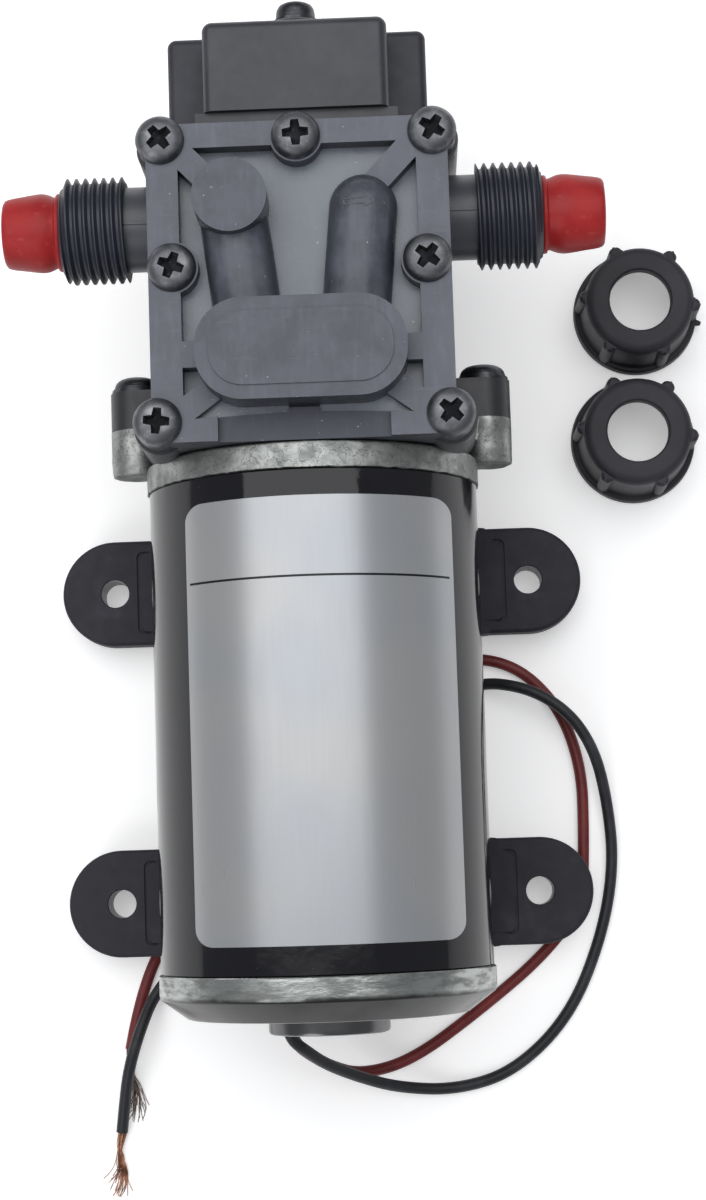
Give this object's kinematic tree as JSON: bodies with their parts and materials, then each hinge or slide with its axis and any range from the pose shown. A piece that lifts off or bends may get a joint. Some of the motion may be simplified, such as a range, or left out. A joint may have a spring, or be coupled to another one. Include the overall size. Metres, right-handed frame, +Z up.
{
  "type": "diaphragm pump",
  "caption": "Self-priming diaphragm pump: brushed motor with two leads, ribbed valve cover, two threaded spigots with plugs, pressure switch, bracket on rubber feet and loose union nuts.",
  "frame": {"origin": "centre of the four mounting holes, on the plane that the rubber feet stand on", "axes": "+Y along the motor axis towards the pump head, +Z up, away from the feet, +X to the right when seen from above with the head ahead"},
  "size_m": [0.1452, 0.2439, 0.083],
  "materials": {
    "plated_steel": "zinc-plated pressed steel",
    "rubber_black": "matt moulded rubber",
    "can_enamel": "gloss black enamel over drawn steel",
    "label_foil": "satin foil",
    "cast_zinc": "as-cast silver alloy",
    "brushed_cap": "turned and brushed",
    "bearing_steel": "ground and polished",
    "bronze": "sintered bronze",
    "ferrite": "sintered, matt",
    "phenolic": "moulded, matt",
    "carbon": "pressed carbon",
    "spring_steel": "bright wire",
    "shaft_steel": "ground",
    "core_steel": "stacked sheets",
    "copper": "copper wire, varnished inside the motor and bare on the leads",
    "black_plastic": "moulded, slight grain",
    "grey_plastic": "moulded, slight grain",
    "dark_steel": "blackened",
    "red_rubber": "soft moulded",
    "black_insulation": "extruded, slight shine",
    "red_insulation": "extruded, slight shine"
  },
  "bodies": {
    "pump": {"base_bracket": "plated_steel", "foot_front_left": "rubber_black", "foot_front_right": "rubber_black", "foot_rear_left": "rubber_black", "foot_rear_right": "rubber_black", "motor_can": "can_enamel", "motor_label": "label_foil", "front_bracket": "cast_zinc", "front_bearing_outer": "bearing_steel", "rear_cap": "brushed_cap", "rear_bush": "bronze", "field_magnets": "ferrite", "brush_plate": "phenolic", "brush_spring_left": "spring_steel", "brush_spring_right": "spring_steel", "diaphragm": "rubber_black", "crankcase": "black_plastic", "valve_body": "black_plastic", "cover_seal": "rubber_black", "valve_cover": "grey_plastic", "cover_screws": "dark_steel", "ear_screws": "dark_steel", "inlet_spigot": "black_plastic", "outlet_spigot": "black_plastic", "switch_housing": "black_plastic", "switch_diaphragm": "rubber_black", "switch_spring": "spring_steel", "micro_switch": "black_plastic", "lead_grommet": "rubber_black", "black_lead": "black_insulation", "red_lead": "red_insulation", "black_lead_strands": "copper", "red_lead_strands": "copper"},
    "rotor": {"motor_shaft": "shaft_steel", "armature_core": "core_steel", "armature_windings": "copper", "commutator": "copper", "eccentric": "shaft_steel", "eccentric_set_screw": "dark_steel", "front_bearing_inner": "bearing_steel", "rod_bearing_inner": "bearing_steel"},
    "rod": {"connecting_rod": "cast_zinc", "rod_bearing_outer": "bearing_steel", "piston_plate": "shaft_steel", "piston_screw": "shaft_steel"},
    "inlet_valve_body": {"inlet_valve": "rubber_black"},
    "outlet_valve_body": {"outlet_valve": "rubber_black"},
    "brush_left_body": {"brush_left": "carbon"},
    "brush_right_body": {"brush_right": "carbon"},
    "switch_plunger_body": {"switch_plunger": "black_plastic"},
    "switch_button_body": {"switch_button": "red_rubber"},
    "adjusting_screw_body": {"adjusting_screw": "shaft_steel"},
    "inlet_plug_body": {"inlet_plug": "red_rubber"},
    "outlet_plug_body": {"outlet_plug": "red_rubber"},
    "union_nut_upper_body": {"union_nut_upper": "black_plastic"},
    "union_nut_lower_body": {"union_nut_lower": "black_plastic"}
  },
  "joints": [
    {"name": "shaft_spin", "type": "hinge", "parent": "pump", "child": "rotor", "pos_m": [0, 0, 0.041], "axis": [0, 1, 0], "continuous": true},
    {"name": "rod_orbit", "type": "hinge", "parent": "rotor", "child": "rod", "pos_m": [0, 0.074, 0.04225], "axis": [0, 1, 0], "continuous": true, "deforming": ["diaphragm"]},
    {"name": "inlet_valve_lift", "type": "slide", "parent": "pump", "child": "inlet_valve_body", "axis": [0, 0, -1], "range_m": [0, 0.001], "stiffness_N_per_m": 60, "springref_m": -0.0005},
    {"name": "outlet_valve_lift", "type": "slide", "parent": "pump", "child": "outlet_valve_body", "axis": [0, 0, 1], "range_m": [0, 0.001], "stiffness_N_per_m": 60, "springref_m": -0.0005},
    {"name": "brush_left_slide", "type": "slide", "parent": "pump", "child": "brush_left_body", "axis": [-1, 0, 0], "range_m": [0, 0.0015], "stiffness_N_per_m": 100, "springref_m": -0.002, "deforming": ["brush_spring_left"]},
    {"name": "brush_right_slide", "type": "slide", "parent": "pump", "child": "brush_right_body", "axis": [1, 0, 0], "range_m": [0, 0.0015], "stiffness_N_per_m": 100, "springref_m": -0.002, "deforming": ["brush_spring_right"]},
    {"name": "switch_plunger_slide", "type": "slide", "parent": "pump", "child": "switch_plunger_body", "axis": [0, 1, 0], "range_m": [0, 0.0008], "stiffness_N_per_m": 800, "springref_m": -0.001, "deforming": ["switch_spring", "switch_diaphragm"]},
    {"name": "switch_button_slide", "type": "slide", "parent": "pump", "child": "switch_button_body", "axis": [0, 1, 0], "range_m": [0, 0.0008], "stiffness_N_per_m": 100},
    {"name": "adjusting_screw_turn", "type": "hinge", "parent": "pump", "child": "adjusting_screw_body", "pos_m": [0, 0.1468, 0.057], "axis": [0, 1, 0], "range_deg": [-360, 360]},
    {"name": "inlet_plug_pull", "type": "slide", "parent": "pump", "child": "inlet_plug_body", "axis": [-1, 0, 0], "range_m": [0, 0.02]},
    {"name": "outlet_plug_pull", "type": "slide", "parent": "pump", "child": "outlet_plug_body", "axis": [1, 0, 0], "range_m": [0, 0.02]},
    {"name": "union_nut_upper_lift", "type": "slide", "parent": "pump", "child": "union_nut_upper_body", "axis": [0, 0, 1], "range_m": [0, 0.03]},
    {"name": "union_nut_lower_lift", "type": "slide", "parent": "pump", "child": "union_nut_lower_body", "axis": [0, 0, 1], "range_m": [0, 0.03]}
  ],
  "couplings": [
    {"joint": "rod_orbit", "follows": "shaft_spin", "ratio": -1},
    {"joint": "switch_button_slide", "follows": "switch_plunger_slide", "ratio": 1}
  ]
}
